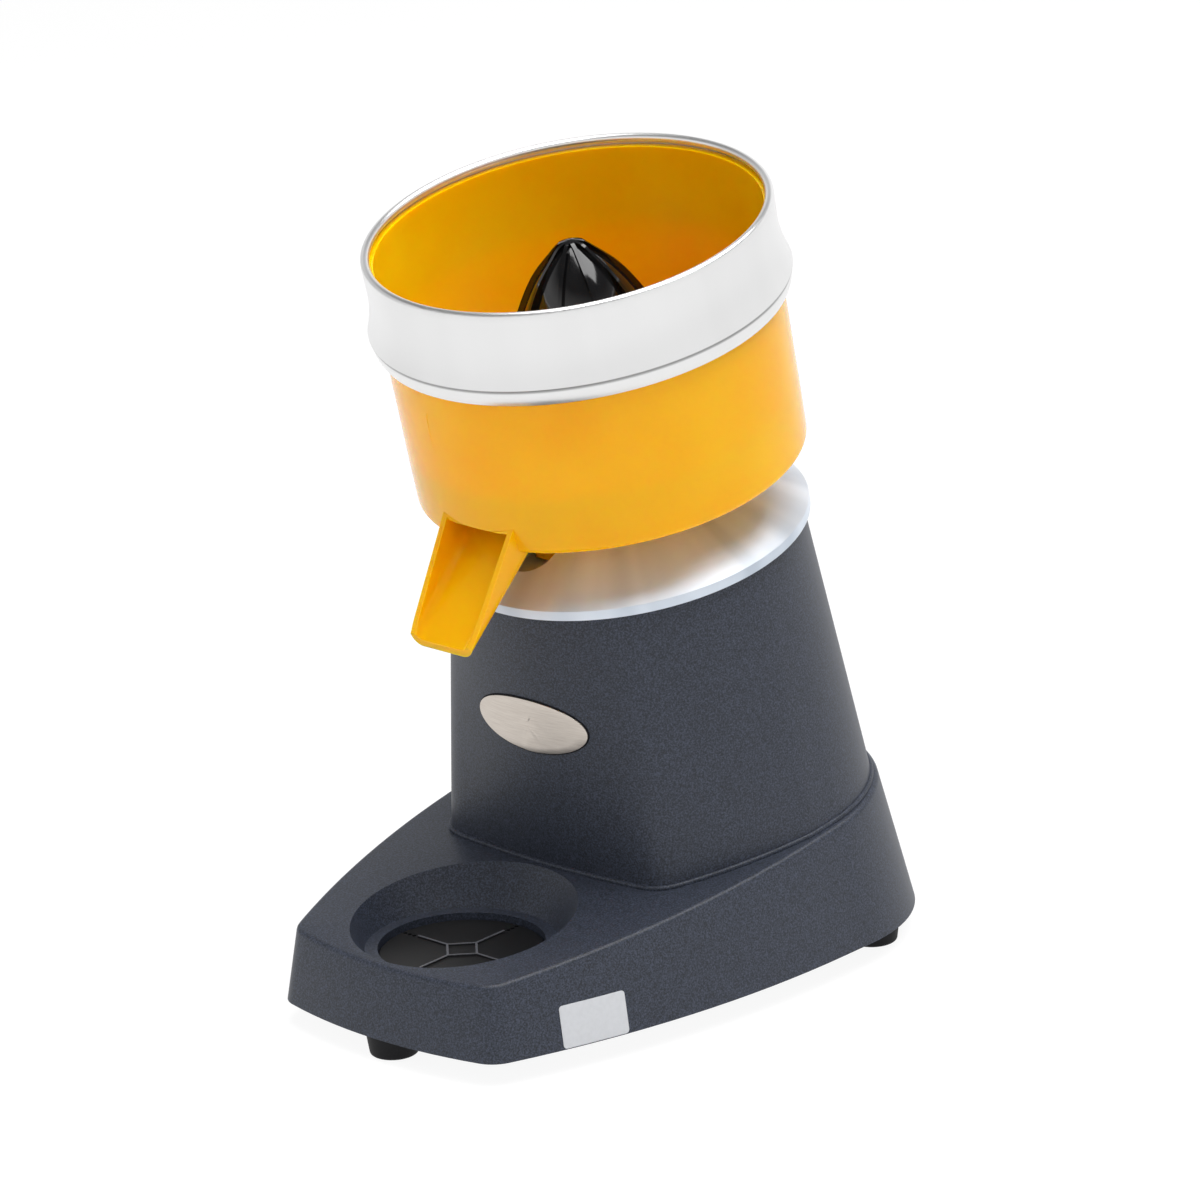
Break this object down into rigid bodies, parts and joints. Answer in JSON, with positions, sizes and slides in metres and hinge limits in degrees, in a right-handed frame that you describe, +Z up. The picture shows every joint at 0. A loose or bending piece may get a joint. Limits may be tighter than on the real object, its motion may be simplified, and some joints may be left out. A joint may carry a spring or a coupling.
{
  "type": "electric citrus juicer",
  "caption": "Electric citrus juicer: ribbed cone and strainer in a spouted bowl, over a motor housing that leans forward above a drip grid.",
  "frame": {"origin": "middle of the overall box on the plane that the rubber feet stand on", "axes": "+Z up, -Y towards the front with the spout and the drip grid, +X to the right seen from the front"},
  "size_m": [0.2004, 0.298, 0.3501],
  "materials": {
    "cast_paint": "aluminium casting under dark grey textured powder paint",
    "disc_metal": "bright turned aluminium casting",
    "ring_metal": "spun sheet, satin",
    "bowl_plastic": "translucent amber gloss plastic",
    "cone_plastic": "black gloss plastic",
    "grid_plastic": "black matte plastic",
    "strainer_steel": "pressed stainless sheet",
    "plate_steel": "plain coated sheet",
    "foot_rubber": "soft black rubber",
    "seal_rubber": "oil-resistant black rubber",
    "screw_steel": "zinc-plated steel",
    "bearing_steel": "ground bearing steel",
    "lamination_iron": "stacked electrical sheet",
    "winding_copper": "enamelled copper wire",
    "shield_aluminium": "as-cast aluminium",
    "shaft_steel": "ground steel",
    "fan_plastic": "black nylon",
    "switch_plastic": "black moulded plastic",
    "rocker_plastic": "black moulded plastic",
    "gland_plastic": "black nylon",
    "capacitor_plastic": "off-white moulded can",
    "clip_steel": "sprung steel strip",
    "terminal_plastic": "natural nylon"
  },
  "bodies": {
    "housing": {"base_casting": "cast_paint", "motor_housing": "cast_paint", "top_disc": "disc_metal", "bottom_plate": "plate_steel", "front_foot": "foot_rubber", "rear_foot_left": "foot_rubber", "rear_foot_right": "foot_rubber", "foot_screws": "screw_steel", "plate_screws": "screw_steel", "housing_screws": "screw_steel", "disc_screws": "screw_steel", "shaft_seal": "seal_rubber", "upper_bearing_outer": "bearing_steel", "lower_bearing_outer": "bearing_steel", "stator_stack": "lamination_iron", "stator_windings": "winding_copper", "lower_shield": "shield_aluminium", "tie_bolts": "screw_steel", "switch_body": "switch_plastic", "cable_gland": "gland_plastic", "gland_nut": "gland_plastic", "capacitor": "capacitor_plastic", "capacitor_clip": "clip_steel", "terminal_block": "terminal_plastic"},
    "spindle": {"motor_shaft": "shaft_steel", "drive_pin": "shaft_steel", "rotor_core": "lamination_iron", "rotor_rings": "shield_aluminium", "cooling_fan": "fan_plastic", "upper_bearing_inner": "bearing_steel", "lower_bearing_inner": "bearing_steel"},
    "bowl": {"bowl": "bowl_plastic", "bowl_ring": "ring_metal"},
    "strainer": {"strainer": "strainer_steel"},
    "cone": {"squeezing_cone": "cone_plastic"},
    "grid": {"drip_grid": "grid_plastic"},
    "rocker": {"switch_rocker": "rocker_plastic"}
  },
  "joints": [
    {"name": "spindle_spin", "type": "hinge", "parent": "housing", "child": "spindle", "pos_m": [0, 0.0207, 0.1888], "axis": [0, -0.1822, 0.9833], "continuous": true},
    {"name": "bowl_lift", "type": "slide", "parent": "housing", "child": "bowl", "axis": [0, -0.1822, 0.9833], "range_m": [0, 0.1]},
    {"name": "strainer_lift", "type": "slide", "parent": "bowl", "child": "strainer", "axis": [0, -0.1822, 0.9833], "range_m": [0, 0.1]},
    {"name": "cone_lift", "type": "slide", "parent": "spindle", "child": "cone", "axis": [0, -0.1822, 0.9833], "range_m": [0, 0.3]},
    {"name": "grid_lift", "type": "slide", "parent": "housing", "child": "grid", "axis": [0, 0, 1], "range_m": [0, 0.06]},
    {"name": "rocker_switch", "type": "hinge", "parent": "housing", "child": "rocker", "pos_m": [-0.0115, 0.12599, 0.04584], "axis": [-1, 0, 0], "range_deg": [0, 16]}
  ],
  "couplings": [
    {"joint": "strainer_lift", "follows": "bowl_lift", "ratio": 1},
    {"joint": "cone_lift", "follows": "bowl_lift", "ratio": 3}
  ]
}
